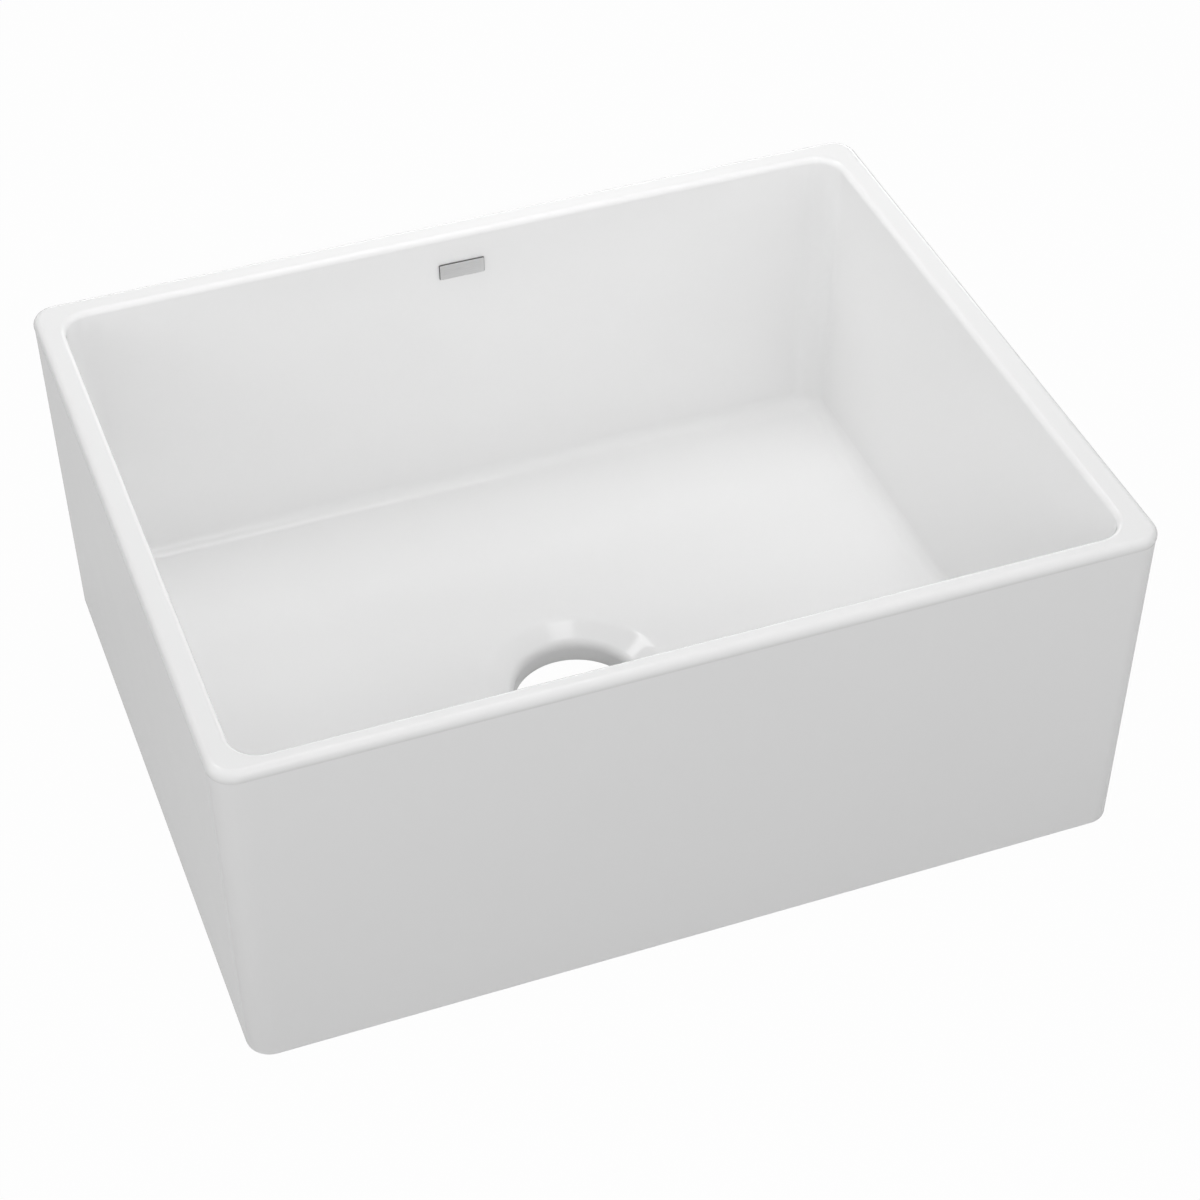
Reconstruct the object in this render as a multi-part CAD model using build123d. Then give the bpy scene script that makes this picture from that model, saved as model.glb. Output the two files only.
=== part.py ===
from build123d import *
import math
import os

# Farmhouse sink with an apron front: a single fireclay casting with a small blank badge inside its back wall.
# Millimetres. X runs along the width, Y from the apron to the back, Z up from the base.
# The origin is on the base, at the centre of the outer width and depth. The apron faces -Y.

# --- Driving dimensions -------------------------------------------------------------------------------

# outside of the casting
WIDTH = 619.0
DEPTH = 495.5
HEIGHT = 255.0
OUTER_CORNER_RADIUS = 16.5
OUTER_DRAFT = 0.97          # degrees, the outer faces lean in towards the base
BASE_EDGE_RADIUS = 1.2

# rolled rim: a bullnose that stands a little proud of the drafted faces
RIM_ROLL_RADIUS = 5.7
RIM_OVERHANG = 0.5

# wall thickness at the rim, as cast
APRON_WALL = 13.5
BACK_WALL = 19.5
LEFT_WALL = 18.0
RIGHT_WALL = 20.5

# bowl
INNER_DRAFT = 1.8           # degrees, the walls thicken towards the floor
INNER_CORNER_RADIUS = 19.5
INNER_EDGE_RADIUS = 4.5
COVE_RADIUS = 11.0
FLOOR_FALL = 11.0           # from the coves down to the edge of the dish

# drain: 3-1/2 inch hole in a shallow conical dish
DRAIN_RADIUS = 44.45
DRAIN_Y = -4.7
DRAIN_WALL = 10.3           # straight wall of the hole, up from the base
DRAIN_EDGE_RADIUS = 8.0
DISH_WIDTH = 19.5           # from the wall of the hole out to the edge of the dish
DISH_SLOPE = 24.0           # degrees
DISH_ROLL_RADIUS = 20.0

# badge
BADGE_WIDTH = 34.0
BADGE_HEIGHT = 12.2
BADGE_THICKNESS = 1.4
BADGE_CORNER_RADIUS = 0.8
BADGE_EDGE_CHAMFER = 0.4
BADGE_X = -1.0
BADGE_BELOW_RIM = 29.0      # from the rim down to the badge's centre
PAD_MARGIN = 1.0            # how far the foam tape stays inside the plate's edge
PAD_THICKNESS = 0.5


# --- Sizes worked out from them -----------------------------------------------------------------------

def lean(height, draft):
    """How far a face with this draft moves sideways over a height."""
    return height * math.tan(math.radians(draft))


# the roll passes its widest point and curls in until it meets the outer face, in a crease
roll_level = HEIGHT - RIM_ROLL_RADIUS
curl_angle = math.acos(1 - RIM_OVERHANG / RIM_ROLL_RADIUS)
crease_level = roll_level - RIM_ROLL_RADIUS * math.sin(curl_angle)

# the drain's profile, as (radius, height) about its axis: straight wall, rounded edge, cone, roll, floor
slope = math.radians(DISH_SLOPE)
dish_radius = DRAIN_RADIUS + DISH_WIDTH
cone_start = (
    DRAIN_RADIUS + DRAIN_EDGE_RADIUS * (1 - math.sin(slope)),
    DRAIN_WALL + DRAIN_EDGE_RADIUS * math.cos(slope),
)
dish_level = cone_start[1] + (dish_radius - cone_start[0]) * math.tan(slope)
floor_level = dish_level + FLOOR_FALL

# the bowl's outline at the rim, its shift from the sink's centre, and how far its walls lean in
bowl_width = WIDTH - LEFT_WALL - RIGHT_WALL
bowl_depth = DEPTH - APRON_WALL - BACK_WALL
bowl_centre = ((LEFT_WALL - RIGHT_WALL) / 2, (APRON_WALL - BACK_WALL) / 2)
bowl_lean = lean(HEIGHT - floor_level, INNER_DRAFT)
cove_inset = bowl_lean + COVE_RADIUS

# the floor's slope from the back cove to the dish, and the ends of the roll between them
floor_slope = math.atan2(FLOOR_FALL, bowl_depth / 2 - cove_inset - dish_radius)
roll_tangent = DISH_ROLL_RADIUS * math.tan((slope - floor_slope) / 2)
roll_inner = (
    dish_radius - roll_tangent * math.cos(slope),
    dish_level - roll_tangent * math.sin(slope),
)
roll_outer = (
    dish_radius + roll_tangent * math.cos(floor_slope),
    dish_level + roll_tangent * math.sin(floor_slope),
)


def rounded_outline(width, depth, radius, level, centre=(0, 0)):
    """A rounded rectangle, level, at a height."""
    return Pos(centre[0], centre[1], level) * RectangleRounded(width, depth, radius)


# --- Outside of the casting ---------------------------------------------------------------------------

def outer_block():
    """The drafted block under the rim, from the base up into the roll."""
    base_inset = RIM_OVERHANG + lean(crease_level, OUTER_DRAFT)
    top_inset = RIM_OVERHANG - lean(roll_level - crease_level, OUTER_DRAFT)
    base = rounded_outline(WIDTH - 2 * base_inset, DEPTH - 2 * base_inset, OUTER_CORNER_RADIUS, 0)
    top = rounded_outline(WIDTH - 2 * top_inset, DEPTH - 2 * top_inset, OUTER_CORNER_RADIUS, roll_level)
    block = loft([base, top], ruled=True)
    base_edges = block.faces().sort_by(Axis.Z)[0].edges()
    return fillet(base_edges, BASE_EDGE_RADIUS)


def rim_slab():
    """The top of the casting: a half-round edge swept round the outline, and the slab inside it."""
    front = -DEPTH / 2
    under_level = roll_level - RIM_ROLL_RADIUS
    ring_width = 2 * RIM_ROLL_RADIUS
    core_inset = 1.5 * RIM_ROLL_RADIUS      # the slab reaches well into the ring
    roll_top = (0, front + RIM_ROLL_RADIUS, HEIGHT)
    roll_side = (0, front, roll_level)
    roll_under = (0, front + RIM_ROLL_RADIUS, under_level)
    profile = make_face(
        [
            ThreePointArc(roll_top, roll_side, roll_under),
            Polyline(
                roll_under,
                (0, front + ring_width, under_level),
                (0, front + ring_width, HEIGHT),
                roll_top,
            ),
        ]
    )
    path = rounded_outline(WIDTH, DEPTH, OUTER_CORNER_RADIUS, roll_level).wire()
    core = rounded_outline(
        WIDTH - 2 * core_inset,
        DEPTH - 2 * core_inset,
        OUTER_CORNER_RADIUS - core_inset,
        under_level,
    )
    return sweep(profile, path=path) + extrude(core, amount=HEIGHT - under_level)


# --- Bowl ---------------------------------------------------------------------------------------------

def bowl_walls():
    """The bowl down to its floor's level at the walls, with coves along its foot."""
    rim = rounded_outline(bowl_width, bowl_depth, INNER_CORNER_RADIUS, HEIGHT, bowl_centre)
    foot = rounded_outline(
        bowl_width - 2 * bowl_lean,
        bowl_depth - 2 * bowl_lean,
        INNER_CORNER_RADIUS,
        floor_level,
        bowl_centre,
    )
    cavity = loft([foot, rim], ruled=True)
    foot_edges = cavity.faces().sort_by(Axis.Z)[0].edges()
    return fillet(foot_edges, COVE_RADIUS)


def floor_fall():
    """The fall of the floor, from the level line at the coves to the roll round the dish."""
    level_line = rounded_outline(
        bowl_width - 2 * cove_inset,
        bowl_depth - 2 * cove_inset,
        INNER_CORNER_RADIUS - COVE_RADIUS,
        floor_level,
        bowl_centre,
    )
    dish_centre = Vector(0, DRAIN_Y, roll_outer[1])

    def on_roll(point):
        """The point of the roll's outer edge in the direction of a point of the level line."""
        away = Vector(point.X, point.Y - DRAIN_Y, 0).normalized()
        return dish_centre + away * roll_outer[0]

    # each side and corner of the level line falls to the arc of the roll that it faces
    arcs = [
        ThreePointArc(*(on_roll(edge @ share) for share in (0, 0.5, 1)))
        for edge in level_line.wire().edges()
    ]
    return loft([make_face(arcs), level_line], ruled=True)


def drain_and_dish():
    """The drain hole and its dish, turned about the drain's axis."""
    wall_top = (DRAIN_RADIUS, DRAIN_WALL)
    with BuildPart() as turned:
        with BuildSketch(Plane.XZ.offset(-DRAIN_Y)):
            with BuildLine():
                Polyline((0, 0), (DRAIN_RADIUS, 0), wall_top)
                TangentArc(wall_top, cone_start, tangent=(0, 1))
                Line(cone_start, roll_inner)
                TangentArc(roll_inner, roll_outer, tangent=(math.cos(slope), math.sin(slope)))
                Polyline(roll_outer, (0, roll_outer[1]), (0, 0))
            make_face()
        revolve(axis=Axis((0, DRAIN_Y, 0), (0, 0, 1)))
    return turned.part


def sink_basin():
    """The whole casting, with the edge between rim and bowl rounded over."""
    casting = outer_block() + rim_slab() - bowl_walls() - floor_fall() - drain_and_dish()
    rim_face = casting.faces().filter_by(Axis.Z).sort_by(Axis.Z)[-1]
    return fillet(rim_face.inner_wires()[0].edges(), INNER_EDGE_RADIUS)


# --- Badge --------------------------------------------------------------------------------------------

def badge_plane():
    """A plane on the bowl's back wall at the badge's centre, facing into the bowl."""
    draft = math.radians(INNER_DRAFT)
    back_y = DEPTH / 2 - BACK_WALL - lean(BADGE_BELOW_RIM, INNER_DRAFT)
    return Plane(
        origin=(BADGE_X, back_y, HEIGHT - BADGE_BELOW_RIM),
        x_dir=(1, 0, 0),
        z_dir=(0, -math.cos(draft), math.sin(draft)),
    )


def badge_adhesive_pad():
    """The foam tape between the glaze and the plate."""
    outline = Rectangle(BADGE_WIDTH - 2 * PAD_MARGIN, BADGE_HEIGHT - 2 * PAD_MARGIN)
    return badge_plane() * extrude(outline, amount=PAD_THICKNESS)


def badge_plate():
    """The blank plate, with rounded corners and a chamfer round its face."""
    plate = extrude(RectangleRounded(BADGE_WIDTH, BADGE_HEIGHT, BADGE_CORNER_RADIUS), amount=BADGE_THICKNESS)
    plate = chamfer(plate.faces().sort_by(Axis.Z)[-1].edges(), BADGE_EDGE_CHAMFER)
    return badge_plane() * Pos(0, 0, PAD_THICKNESS) * plate


# --- Export -------------------------------------------------------------------------------------------

pieces = {
    "sink_basin": sink_basin(),
    "badge_adhesive_pad": badge_adhesive_pad(),
    "badge_plate": badge_plate(),
}

os.makedirs("parts", exist_ok=True)
for node, solid in pieces.items():
    export_step(solid, f"parts/{node}.step")
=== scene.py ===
import math

import bmesh
import bpy
from mathutils import Matrix, Vector


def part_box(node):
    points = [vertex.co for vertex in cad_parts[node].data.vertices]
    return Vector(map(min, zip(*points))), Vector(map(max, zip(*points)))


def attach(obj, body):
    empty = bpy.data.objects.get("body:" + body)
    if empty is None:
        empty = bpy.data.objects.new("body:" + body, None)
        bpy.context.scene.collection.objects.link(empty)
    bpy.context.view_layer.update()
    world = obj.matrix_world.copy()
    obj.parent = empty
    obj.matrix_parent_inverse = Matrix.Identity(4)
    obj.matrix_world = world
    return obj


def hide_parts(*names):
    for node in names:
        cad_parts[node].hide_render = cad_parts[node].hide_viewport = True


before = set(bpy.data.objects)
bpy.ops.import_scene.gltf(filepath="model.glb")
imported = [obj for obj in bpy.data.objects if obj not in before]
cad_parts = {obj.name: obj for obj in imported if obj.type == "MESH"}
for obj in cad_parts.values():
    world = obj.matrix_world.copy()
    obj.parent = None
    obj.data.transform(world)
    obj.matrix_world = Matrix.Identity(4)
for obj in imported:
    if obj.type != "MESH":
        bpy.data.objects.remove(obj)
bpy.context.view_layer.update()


# --- Camera -------------------------------------------------------------------------------------------
# The camera stands in front of the apron, to the left, and looks down into the bowl through a long lens.
# Its place and angles come from the straight edges of the sink.

camera_place = Vector((-0.512958, -1.440571, 1.439715))
camera_yaw = 0.35453        # radians, to the right of straight ahead
camera_pitch = 0.72196      # radians, down from level
camera_roll = 0.00433

camera_data = bpy.data.cameras.new("camera")
camera_data.sensor_width = 36.0
camera_data.lens = 87.715
camera = bpy.data.objects.new("camera", camera_data)
camera.matrix_world = (
    Matrix.Translation(camera_place)
    @ Matrix.Rotation(-camera_yaw, 4, "Z")
    @ Matrix.Rotation(math.pi / 2 - camera_pitch, 4, "X")
    @ Matrix.Rotation(-camera_roll, 4, "Z")
)
bpy.context.scene.collection.objects.link(camera)
bpy.context.scene.camera = camera


# --- Sink basin ---------------------------------------------------------------------------------------
# One fireclay casting, slip-cast in a plaster mould and fired under a thick white glaze.
# The walls lean with the mould's draft, the rim is rolled, and the floor falls to a dished drain hole.

basin_low, basin_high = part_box("sink_basin")
width = basin_high.x - basin_low.x
depth = basin_high.y - basin_low.y
height = basin_high.z - basin_low.z

outer_corner_radius = 0.0165
outer_draft = 0.97          # degrees
base_edge_radius = 0.0012
rim_roll_radius = 0.0057
rim_overhang = 0.0005
apron_wall = 0.0135
back_wall = 0.0195
left_wall = 0.018
right_wall = 0.0205
inner_draft = 1.8           # degrees
inner_corner_radius = 0.0195
inner_edge_radius = 0.0045
cove_radius = 0.011
floor_fall = 0.011
drain_radius = 0.04445
drain_y = -0.0047
drain_wall = 0.0103
drain_edge_radius = 0.008
dish_width = 0.0195
dish_slope = math.radians(24.0)
dish_roll_radius = 0.020
glaze_in_crease = 0.0003    # how far the glaze fills the crease under the roll
drain_lip = 0.0006          # rounding of the hole's lower edge

corner_segments = 14
base_edge_segments = 4
crease_segments = 3
cove_segments = 12
inner_edge_segments = 10
drain_lip_segments = 3
roll_steps = 18
floor_steps = 14
dish_roll_steps = 8
drain_edge_steps = 12
side_cuts_along = 60
side_cuts_across = 48
shortest_side = 0.1         # edges longer than this along X or Y are sides, not parts of a corner
same_level = 1e-6           # heights closer than this are the same
joining_drop = 0.01         # how far a loop is lowered while it is joined to another


def lean(rise, draft):
    """How far a face with this draft in degrees moves sideways over a height."""
    return rise * math.tan(math.radians(draft))


def lies_level(part, level):
    """Whether a face or an edge lies level at this height."""
    return all(abs(v.co.z - level) < same_level for v in part.verts)


def level_face(mesh, level):
    """The only face that lies level at this height."""
    return next(f for f in mesh.faces if lies_level(f, level))


def round_edges(mesh, edges, offset, segments):
    """Rounds edges over. The offset is how far from the edge the rounding starts."""
    bmesh.ops.bevel(
        mesh, geom=edges, offset=offset, offset_type="OFFSET",
        affect="EDGES", segments=segments, profile=0.5, material=-1,
    )


def add_rounded_block(mesh, centre, foot_level, top_level, foot_size, top_size, corner_radius):
    """A block with rounded upright corners and finely divided sides."""
    known = set(mesh.faces)
    verts = bmesh.ops.create_cube(mesh, size=1)["verts"]
    foot = [v for v in verts if v.co.z < 0]
    top = [v for v in verts if v.co.z > 0]
    for end, level, size in ((foot, foot_level, foot_size), (top, top_level, top_size)):
        bmesh.ops.scale(mesh, verts=end, vec=(size[0], size[1], 0))
        bmesh.ops.translate(mesh, verts=end, vec=(centre[0], centre[1], level))
    upright = [e for v in foot for e in v.link_edges if e.other_vert(v) in top]
    round_edges(mesh, upright, corner_radius, corner_segments)
    made = {e for f in mesh.faces if f not in known for e in f.edges}
    for axis, cuts in ((0, side_cuts_along), (1, side_cuts_across)):
        sides = [e for e in made if abs(e.verts[0].co[axis] - e.verts[1].co[axis]) > shortest_side]
        bmesh.ops.subdivide_edges(mesh, edges=sides, cuts=cuts)
    for level in (foot_level, top_level):
        cut_up = [f for f in mesh.faces if lies_level(f, level)]
        bmesh.ops.dissolve_faces(mesh, faces=cut_up)


def open_face(mesh, face):
    """Takes a face away and gives the edges round the hole."""
    edges = list(face.edges)
    bmesh.ops.delete(mesh, geom=[face], context="FACES_ONLY")
    return edges


def fill_between(mesh, outer, inner):
    """Fills the level ring between two loops of edges, and turns the faces to agree, as a bevel needs.
    The inner loop is lowered while they are joined, because level loops are paired the wrong way round."""
    verts = list({v for e in inner for v in e.verts})
    bmesh.ops.translate(mesh, verts=verts, vec=(0, 0, -joining_drop))
    bmesh.ops.bridge_loops(mesh, edges=outer + inner)
    bmesh.ops.translate(mesh, verts=verts, vec=(0, 0, joining_drop))
    bmesh.ops.recalc_face_normals(mesh, faces=mesh.faces)


def pull_ring(mesh, ring, radius, level, share=1.0):
    """Extrudes a ring of edges towards a circle round the drain's axis, by a share of the way."""
    made = bmesh.ops.extrude_edge_only(mesh, edges=ring)["geom"]
    for vert in (g for g in made if isinstance(g, bmesh.types.BMVert)):
        away = Vector((vert.co.x, vert.co.y - drain_y, 0)).normalized()
        target = Vector((0, drain_y, level)) + away * radius
        vert.co = vert.co.lerp(target, share)
    return [g for g in made if isinstance(g, bmesh.types.BMEdge) and len(g.link_faces) == 1]


casting = bmesh.new()

# the drafted outside, from the base up to the crease under the rim
roll_level = height - rim_roll_radius
curl_angle = math.acos(1 - rim_overhang / rim_roll_radius)
crease_level = roll_level - rim_roll_radius * math.sin(curl_angle)
base_inset = rim_overhang + lean(crease_level, outer_draft)
add_rounded_block(
    casting, (0, 0), 0, crease_level,
    (width - 2 * base_inset, depth - 2 * base_inset),
    (width - 2 * rim_overhang, depth - 2 * rim_overhang),
    outer_corner_radius,
)
round_edges(casting, list(level_face(casting, 0).edges), base_edge_radius, base_edge_segments)

# the rolled rim: the top face is drawn out over the crease and then round into the flat of the rim
rim_face = level_face(casting, crease_level)
angle = -curl_angle
for step in range(1, roll_steps + 1):
    turned = -curl_angle + (math.pi / 2 + curl_angle) * step / roll_steps
    bmesh.ops.inset_region(
        casting, faces=[rim_face], use_even_offset=True, use_boundary=True,
        thickness=rim_roll_radius * (math.cos(angle) - math.cos(turned)),
        depth=rim_roll_radius * (math.sin(turned) - math.sin(angle)),
    )
    angle = turned
rim_edges = open_face(casting, rim_face)
crease_edges = [e for e in casting.edges if lies_level(e, crease_level)]
round_edges(casting, crease_edges, glaze_in_crease, crease_segments)

# the bowl, with a cove along the foot of its walls; points of the drain are (radius, height) about its axis
slope_start = (
    drain_radius + drain_edge_radius * (1 - math.sin(dish_slope)),
    drain_wall + drain_edge_radius * math.cos(dish_slope),
)
dish_radius = drain_radius + dish_width
dish_level = slope_start[1] + (dish_radius - slope_start[0]) * math.tan(dish_slope)
floor_level = dish_level + floor_fall
bowl_width = width - left_wall - right_wall
bowl_depth = depth - apron_wall - back_wall
bowl_lean = lean(height - floor_level, inner_draft)
add_rounded_block(
    casting, ((left_wall - right_wall) / 2, (apron_wall - back_wall) / 2), floor_level, height,
    (bowl_width - 2 * bowl_lean, bowl_depth - 2 * bowl_lean), (bowl_width, bowl_depth), inner_corner_radius,
)
offset_per_radius = 1 / math.tan(math.radians(90 + inner_draft) / 2)     # between a level and a leaning face
bowl_edges = open_face(casting, level_face(casting, height))
foot_edges = list(level_face(casting, floor_level).edges)
round_edges(casting, foot_edges, cove_radius * offset_per_radius, cove_segments)
floor_ring = open_face(casting, level_face(casting, floor_level))

# the flat of the rim joins the roll to the bowl, and its inner edge is rounded over
fill_between(casting, rim_edges, bowl_edges)
round_edges(casting, bowl_edges, inner_edge_radius * offset_per_radius, inner_edge_segments)

# the floor falls evenly to the edge of the dish
floor_slope = math.atan2(floor_fall, bowl_depth / 2 - bowl_lean - cove_radius - dish_radius)
roll_tangent = dish_roll_radius * math.tan((dish_slope - floor_slope) / 2)
roll_out = (
    dish_radius + roll_tangent * math.cos(floor_slope),
    dish_level + roll_tangent * math.sin(floor_slope),
)
for step in range(floor_steps):
    floor_ring = pull_ring(casting, floor_ring, *roll_out, share=1 / (floor_steps - step))

# the dish: a roll into a cone, the rounded edge of the hole and its straight wall
for step in range(1, dish_roll_steps + 1):
    turned = floor_slope + (dish_slope - floor_slope) * step / dish_roll_steps
    floor_ring = pull_ring(
        casting, floor_ring,
        roll_out[0] - dish_roll_radius * (math.sin(turned) - math.sin(floor_slope)),
        roll_out[1] - dish_roll_radius * (math.cos(floor_slope) - math.cos(turned)),
    )
for step in range(drain_edge_steps + 1):
    turned = dish_slope + (math.pi / 2 - dish_slope) * step / drain_edge_steps
    floor_ring = pull_ring(
        casting, floor_ring,
        drain_radius + drain_edge_radius * (1 - math.sin(turned)),
        drain_wall + drain_edge_radius * math.cos(turned),
    )
floor_ring = pull_ring(casting, floor_ring, drain_radius, 0)
base_edges = open_face(casting, level_face(casting, 0))
fill_between(casting, base_edges, floor_ring)
round_edges(casting, floor_ring, drain_lip, drain_lip_segments)


def add_piece(name, mesh):
    """Makes a smooth-shaded object of a bmesh, with normals that follow its larger faces."""
    for face in mesh.faces:
        face.smooth = True
    data = bpy.data.meshes.new(name)
    mesh.to_mesh(data)
    mesh.free()
    piece = bpy.data.objects.new(name, data)
    bpy.context.scene.collection.objects.link(piece)
    even = piece.modifiers.new("even_normals", "WEIGHTED_NORMAL")
    even.keep_sharp = True
    return piece


for face in casting.faces:
    face.material_index = 1 if lies_level(face, 0) else 0
basin = add_piece("basin", casting)


def principled(name):
    """A new material, its nodes and links, and its shader."""
    material = bpy.data.materials.new(name)
    material.use_nodes = True
    nodes = material.node_tree.nodes
    return material, nodes, material.node_tree.links, nodes["Principled BSDF"]


def add_math(nodes, links, operation, first, second):
    """A maths node on two numbers or outputs, and its output."""
    node = nodes.new("ShaderNodeMath")
    node.operation = operation
    for socket, value in zip(node.inputs, (first, second)):
        if isinstance(value, bpy.types.NodeSocket):
            links.new(value, socket)
        else:
            socket.default_value = value
    return node.outputs[0]


# surface detail for every material: patches of tone and roughness, and a height from waves and grain
surface_detail = bpy.data.node_groups.new("surface_detail", "ShaderNodeTree")
for name, kind in (
    ("Place", "NodeSocketVector"),
    ("Tone", "NodeSocketColor"),
    ("Tone Spread", "NodeSocketFloat"),
    ("Roughness", "NodeSocketFloat"),
    ("Roughness Spread", "NodeSocketFloat"),
    ("Patch Scale", "NodeSocketFloat"),
    ("Wave Scale", "NodeSocketFloat"),
    ("Wave Height", "NodeSocketFloat"),
    ("Grain Scale", "NodeSocketFloat"),
    ("Grain Height", "NodeSocketFloat"),
):
    surface_detail.interface.new_socket(name=name, in_out="INPUT", socket_type=kind)
for name, kind in (
    ("Tone", "NodeSocketColor"),
    ("Roughness", "NodeSocketFloat"),
    ("Height", "NodeSocketFloat"),
):
    surface_detail.interface.new_socket(name=name, in_out="OUTPUT", socket_type=kind)
nodes, links = surface_detail.nodes, surface_detail.links
given = nodes.new("NodeGroupInput").outputs
result = nodes.new("NodeGroupOutput").inputs


def add_noise(scale, detail, seed):
    """Noise in the group, from -0.5 to 0.5 about its mean."""
    noise = nodes.new("ShaderNodeTexNoise")
    noise.noise_dimensions = "4D"
    noise.inputs["W"].default_value = seed
    noise.inputs["Detail"].default_value = detail
    links.new(given["Place"], noise.inputs["Vector"])
    links.new(given[scale], noise.inputs["Scale"])
    return add_math(nodes, links, "SUBTRACT", noise.outputs["Fac"], 0.5)


patches = add_noise("Patch Scale", detail=4, seed=1)
tone_change = add_math(nodes, links, "MULTIPLY", patches, given["Tone Spread"])
brighten = nodes.new("ShaderNodeVectorMath")
brighten.operation = "SCALE"
links.new(given["Tone"], brighten.inputs["Vector"])
links.new(add_math(nodes, links, "ADD", tone_change, 1), brighten.inputs["Scale"])
links.new(brighten.outputs["Vector"], result["Tone"])
gloss_patches = add_noise("Patch Scale", detail=5, seed=7)
roughness_change = add_math(nodes, links, "MULTIPLY", gloss_patches, given["Roughness Spread"])
links.new(add_math(nodes, links, "ADD", roughness_change, given["Roughness"]), result["Roughness"])
waves = add_noise("Wave Scale", detail=1, seed=3)
waves = add_math(nodes, links, "MULTIPLY", waves, given["Wave Height"])
grain = add_noise("Grain Scale", detail=3, seed=5)
grain = add_math(nodes, links, "MULTIPLY", grain, given["Grain Height"])
links.new(add_math(nodes, links, "ADD", waves, grain), result["Height"])


def add_detail(nodes, links, shader, stretch=(1, 1, 1), **values):
    """Puts the surface detail in a material: its place on the piece, its values and its bump."""
    place = nodes.new("ShaderNodeTexCoord")
    stretched = nodes.new("ShaderNodeMapping")
    stretched.inputs["Scale"].default_value = stretch
    links.new(place.outputs["Object"], stretched.inputs["Vector"])
    group = nodes.new("ShaderNodeGroup")
    group.node_tree = surface_detail
    links.new(stretched.outputs["Vector"], group.inputs["Place"])
    for name, value in values.items():
        group.inputs[name.replace("_", " ").title()].default_value = value
    bump = nodes.new("ShaderNodeBump")
    bump.inputs["Distance"].default_value = 1.0      # heights are in metres
    links.new(group.outputs["Height"], bump.inputs["Height"])
    links.new(group.outputs["Tone"], shader.inputs["Base Color"])
    links.new(group.outputs["Roughness"], shader.inputs["Roughness"])
    links.new(bump.outputs["Normal"], shader.inputs["Normal"])


# the glaze: smooth and wet-looking, with the faint waves and orange peel of a poured, fired coat
glaze, nodes, links, shader = principled("fireclay_glaze")
add_detail(
    nodes, links, shader,
    tone=(0.88, 0.88, 0.88, 1), tone_spread=0.012, roughness=0.085, roughness_spread=0.05, patch_scale=14,
    wave_scale=22, wave_height=0.00006, grain_scale=420, grain_height=0.0000025,
)
basin.data.materials.append(glaze)

# the underside is wiped clean of glaze before firing: sandy, buff clay
clay, nodes, links, shader = principled("bare_clay")
add_detail(
    nodes, links, shader,
    tone=(0.80, 0.77, 0.72, 1), tone_spread=0.14, roughness=0.9, roughness_spread=0.1, patch_scale=30,
    wave_scale=60, wave_height=0.0001, grain_scale=1600, grain_height=0.00018,
)
basin.data.materials.append(clay)

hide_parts("sink_basin")
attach(basin, "root")


# --- Foam tape ----------------------------------------------------------------------------------------
# A strip of white foam tape, sticky on both faces, between the back wall's glaze and the badge.
# The badge squeezes it, so its cut sides bulge a little.

tape_low, tape_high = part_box("badge_adhesive_pad")
tape_size = (0.032, 0.0102, 0.0005)
tape_corner_radius = 0.0004
tape_corner_segments = 3
tape_bulge = 0.00012
tape_bulge_cuts = 3


def place_on_back_wall(mesh, low, high):
    """Turns a shape made flat to face out of the back wall, and centres it in a box."""
    upright = Matrix.Rotation(math.pi / 2 - math.radians(inner_draft), 4, "X")
    bmesh.ops.transform(mesh, verts=mesh.verts, matrix=Matrix.Translation((low + high) / 2) @ upright)


def through_edges(mesh, thickness):
    """The edges that go through a flat plate of this thickness, from face to face."""
    return [e for e in mesh.edges if abs(e.verts[0].co.z - e.verts[1].co.z) > thickness / 2]


def add_plate(mesh, size, corner_radius, corner_segments):
    """A flat plate with rounded corners, centred on the origin."""
    verts = bmesh.ops.create_cube(mesh, size=1)["verts"]
    bmesh.ops.scale(mesh, verts=verts, vec=size)
    round_edges(mesh, through_edges(mesh, size[2]), corner_radius, corner_segments)


strip = bmesh.new()
add_plate(strip, tape_size, tape_corner_radius, tape_corner_segments)
through = through_edges(strip, tape_size[2])
cut_verts = bmesh.ops.subdivide_edges(strip, edges=through, cuts=tape_bulge_cuts)["geom_inner"]
for vert in (g for g in cut_verts if isinstance(g, bmesh.types.BMVert)):
    bulge = tape_bulge * (1 - (2 * vert.co.z / tape_size[2]) ** 2)
    vert.co.x += math.copysign(bulge, vert.co.x)
    vert.co.y += math.copysign(bulge, vert.co.y)
place_on_back_wall(strip, tape_low, tape_high)
tape = add_piece("badge_foam_tape", strip)

foam, nodes, links, shader = principled("foam_tape")
add_detail(
    nodes, links, shader,
    tone=(0.75, 0.75, 0.75, 1), tone_spread=0.15, roughness=0.9, roughness_spread=0.1, patch_scale=900,
    wave_scale=2500, wave_height=0.00003, grain_scale=9000, grain_height=0.00003,
)
tape.data.materials.append(foam)

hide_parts("badge_adhesive_pad")
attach(tape, "root")


# --- Badge --------------------------------------------------------------------------------------------
# A small blank plate of satin metal on the tape. It is pressed from sheet, so its face is slightly
# crowned and its edge is rolled over; its sides and the outer part of the edge get painted shade.

plate_low, plate_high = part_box("badge_plate")
plate_size = (0.034, 0.0122, 0.00115)
plate_corner_radius = 0.0008
plate_corner_segments = 5
plate_edge_radius = 0.0007
plate_edge_segments = 6
painted_shade_below = 0.9          # faces that turn further from the face than this get the painted shade; those next to it stay bright metal
plate_crown = 0.00025       # the face's middle stands this far above its edge
crown_steps = 5
crown_width = 0.0050        # the crown rises over this width, from the edge inwards

face_level = plate_size[2] / 2

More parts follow.
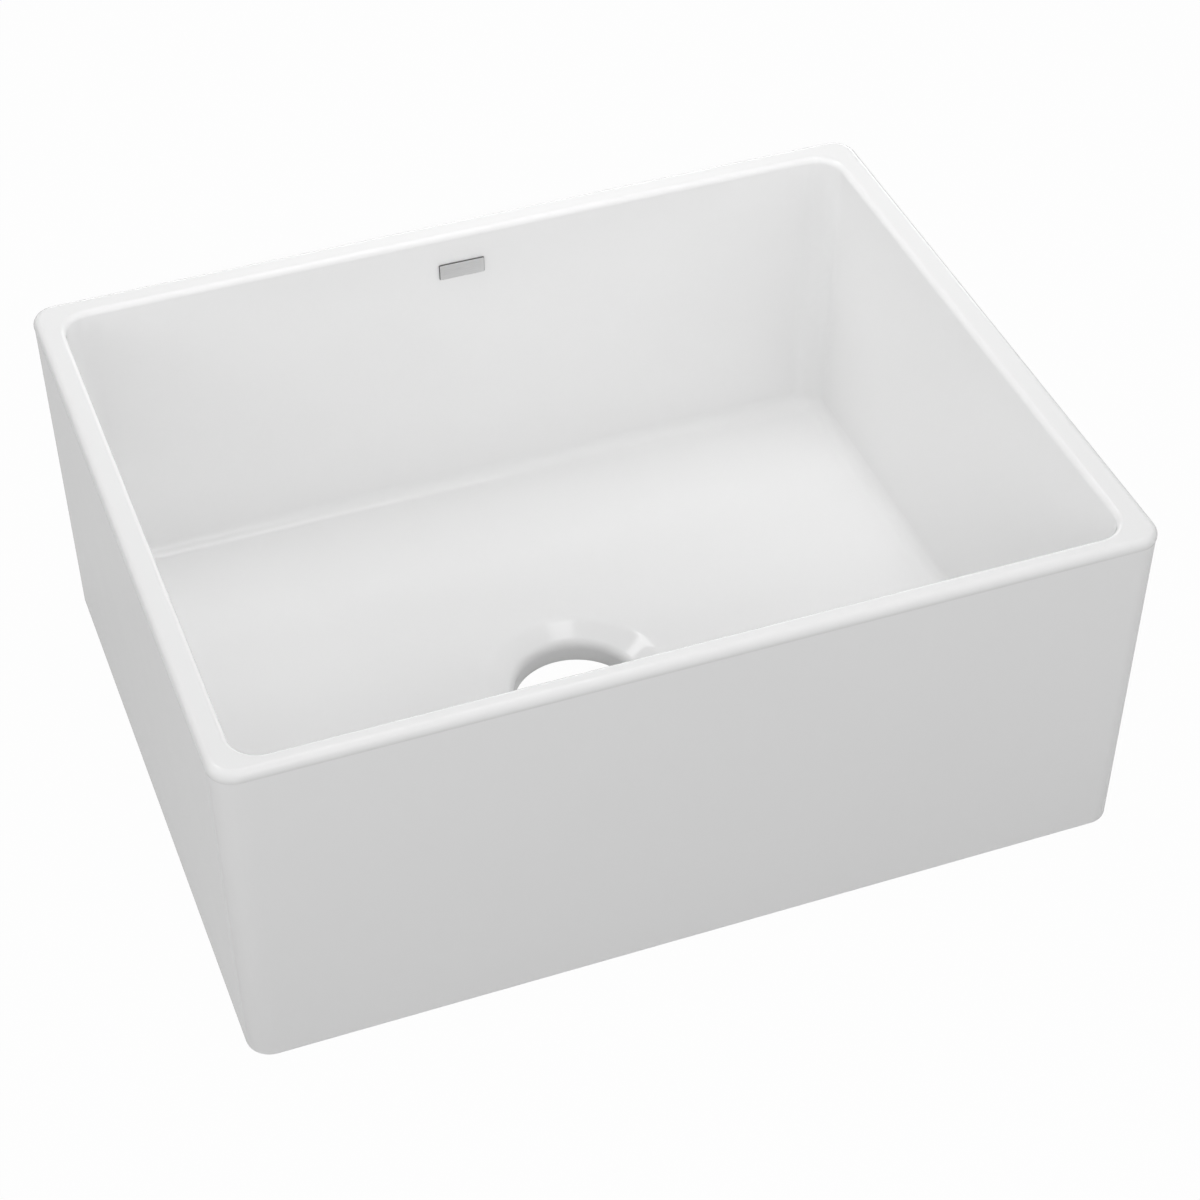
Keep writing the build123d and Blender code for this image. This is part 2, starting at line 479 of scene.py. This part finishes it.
plate = bmesh.new()
add_plate(plate, plate_size, plate_corner_radius, plate_corner_segments)
round_edges(plate, list(level_face(plate, face_level).edges), plate_edge_radius, plate_edge_segments)
plate_face = level_face(plate, face_level)
ring_size = [size - 2 * plate_edge_radius for size in plate_size[:2]]
for step in range(1, crown_steps + 1):
    bmesh.ops.inset_region(plate, faces=[plate_face], thickness=0)
    inner_size = [size - 2 * crown_width / crown_steps for size in ring_size]
    bmesh.ops.scale(
        plate, verts=list(plate_face.verts),
        vec=(inner_size[0] / ring_size[0], inner_size[1] / ring_size[1], 1),
    )
    ring_size = inner_size
    for vert in plate_face.verts:
        vert.co.z = face_level + plate_crown * (1 - (1 - step / crown_steps) ** 2)
bmesh.ops.translate(plate, verts=plate.verts, vec=(0, 0, -plate_crown / 2))
# painted shade: faces of the rolled edge that turn away from the face, and the sides, take the dark material
for face in plate.faces:
    face.material_index = 0 if face.normal.z > painted_shade_below else 1
place_on_back_wall(plate, plate_low, plate_high)
badge = add_piece("badge_plate_blank", plate)

# satin metal, brushed along the plate: the detail is drawn out along X
badge_metal, nodes, links, shader = principled("badge_metal")
shader.inputs["Metallic"].default_value = 1.0
add_detail(
    nodes, links, shader, stretch=(0.02, 1, 1),
    tone=(0.76, 0.76, 0.76, 1), tone_spread=0.35, roughness=0.36, roughness_spread=0.2, patch_scale=6000,
    wave_scale=300, wave_height=0.000002, grain_scale=9000, grain_height=0.000002,
)
badge.data.materials.append(badge_metal)

# painted shade: the outer part of the rolled edge and the sides get a dark material in place of the shade
# along the plate's edges
painted_shade_edge, nodes, links, shader = principled("badge_painted_shade_edge")
shader.inputs["Specular IOR Level"].default_value = 0.3
add_detail(
    nodes, links, shader,
    tone=(0.09, 0.09, 0.09, 1), tone_spread=0.3, roughness=0.5, roughness_spread=0.2, patch_scale=1500,
    wave_scale=2000, wave_height=0.000004, grain_scale=9000, grain_height=0.000003,
)
badge.data.materials.append(painted_shade_edge)

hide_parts("badge_plate")
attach(badge, "root")


# --- Floor and light ----------------------------------------------------------------------------------
# A plain pale studio: floor and walls look white to the camera and in the glaze, the floor keeps a faint
# shadow, and soft lamps stand over the bowl, in front of the apron, to its left and behind the sink.

floor_reach = 20            # from the sink to the floor's edge
floor_tone = 0.35           # the floor's paint
floor_white = 0.98          # share of plain white in the floor that the camera sees, the rest is its paint
floor_white_in_gloss = 0.53
studio_light = 0.19         # light from the white walls

floor_mesh = bpy.data.meshes.new("floor")
plane = bmesh.new()
bmesh.ops.create_grid(plane, x_segments=1, y_segments=1, size=floor_reach)
plane.to_mesh(floor_mesh)
plane.free()
floor = bpy.data.objects.new("floor", floor_mesh)
bpy.context.scene.collection.objects.link(floor)


def add_light_path(nodes, links):
    """The kinds of ray, and a mask of those that show what the camera sees, itself or through glass."""
    rays = nodes.new("ShaderNodeLightPath").outputs
    return rays, add_math(nodes, links, "MAXIMUM", rays["Is Camera Ray"], rays["Is Transmission Ray"])


floor_paint, nodes, links, shader = principled("floor_paint")
shader.inputs["Base Color"].default_value = (floor_tone, floor_tone, floor_tone, 1)
shader.inputs["Roughness"].default_value = 0.9
shader.inputs["Specular IOR Level"].default_value = 0
rays, seen = add_light_path(nodes, links)
seen = add_math(nodes, links, "MULTIPLY", seen, floor_white)
mirrored = add_math(nodes, links, "MULTIPLY", rays["Is Glossy Ray"], floor_white_in_gloss)
glow = nodes.new("ShaderNodeEmission")
mix = nodes.new("ShaderNodeMixShader")
links.new(add_math(nodes, links, "MAXIMUM", seen, mirrored), mix.inputs[0])
links.new(shader.outputs[0], mix.inputs[1])
links.new(glow.outputs[0], mix.inputs[2])
links.new(mix.outputs[0], nodes["Material Output"].inputs["Surface"])
floor_mesh.materials.append(floor_paint)

studio = bpy.data.worlds.new("studio")
studio.use_nodes = True
nodes, links = studio.node_tree.nodes, studio.node_tree.links
rays, seen = add_light_path(nodes, links)
seen = add_math(nodes, links, "MAXIMUM", seen, rays["Is Glossy Ray"])
walls = nodes["Background"]
walls.inputs["Color"].default_value = (1, 1, 1, 1)
links.new(add_math(nodes, links, "MAXIMUM", seen, studio_light), walls.inputs["Strength"])
bpy.context.scene.world = studio


def add_lamp(name, place, aim, size, power, mirrored=False):
    """A soft rectangular lamp that points at a place. The glaze mirrors the white walls in its stead,
    unless it is one of the lamps that show on the real glaze, as thin lines or as a patch in the dish."""
    data = bpy.data.lights.new(name, "AREA")
    data.shape = "RECTANGLE"
    data.size, data.size_y = size
    data.energy = power
    lamp = bpy.data.objects.new(name, data)
    place = Vector(place)
    turn = (Vector(aim) - place).to_track_quat("-Z", "Y").to_matrix().to_4x4()
    lamp.matrix_world = Matrix.Translation(place) @ turn
    lamp.visible_glossy = mirrored
    bpy.context.scene.collection.objects.link(lamp)


middle = (0, 0, 0.15)
add_lamp("over_the_back", (0.1, 0.34, 1.1), (0.1, 0.34, 0), (0.6, 0.5), 3.7)
add_lamp("overhead", (0.42, 0.13, 3.0), (0.42, 0.13, 0), (0.66, 0.45), 2.6, mirrored=True)
add_lamp("front", (0, -2.0, 1.82), middle, (2.4, 1.3), 17.4)
add_lamp("front_right", (1.67, -1.67, 1.25), middle, (2.2, 1.4), 13.6)
add_lamp("front_left", (-1.67, -1.67, 1.25), middle, (2.2, 1.4), 13.9)
add_lamp("left", (-2.44, 0, 1.04), middle, (2.0, 1.4), 13.8)
add_lamp("front_strip", (0.05, -2.0, 1.46), middle, (0.45, 0.2), 1.4, mirrored=True)
add_lamp("behind", (1.3, 3.0, 0.95), middle, (3.0, 1.0), 18.0, mirrored=True)
add_lamp("back_strip", (-1.08, 3.33, 5.02), middle, (2.66, 0.75), 22.0, mirrored=True)

bpy.context.scene.view_settings.view_transform = "Standard"
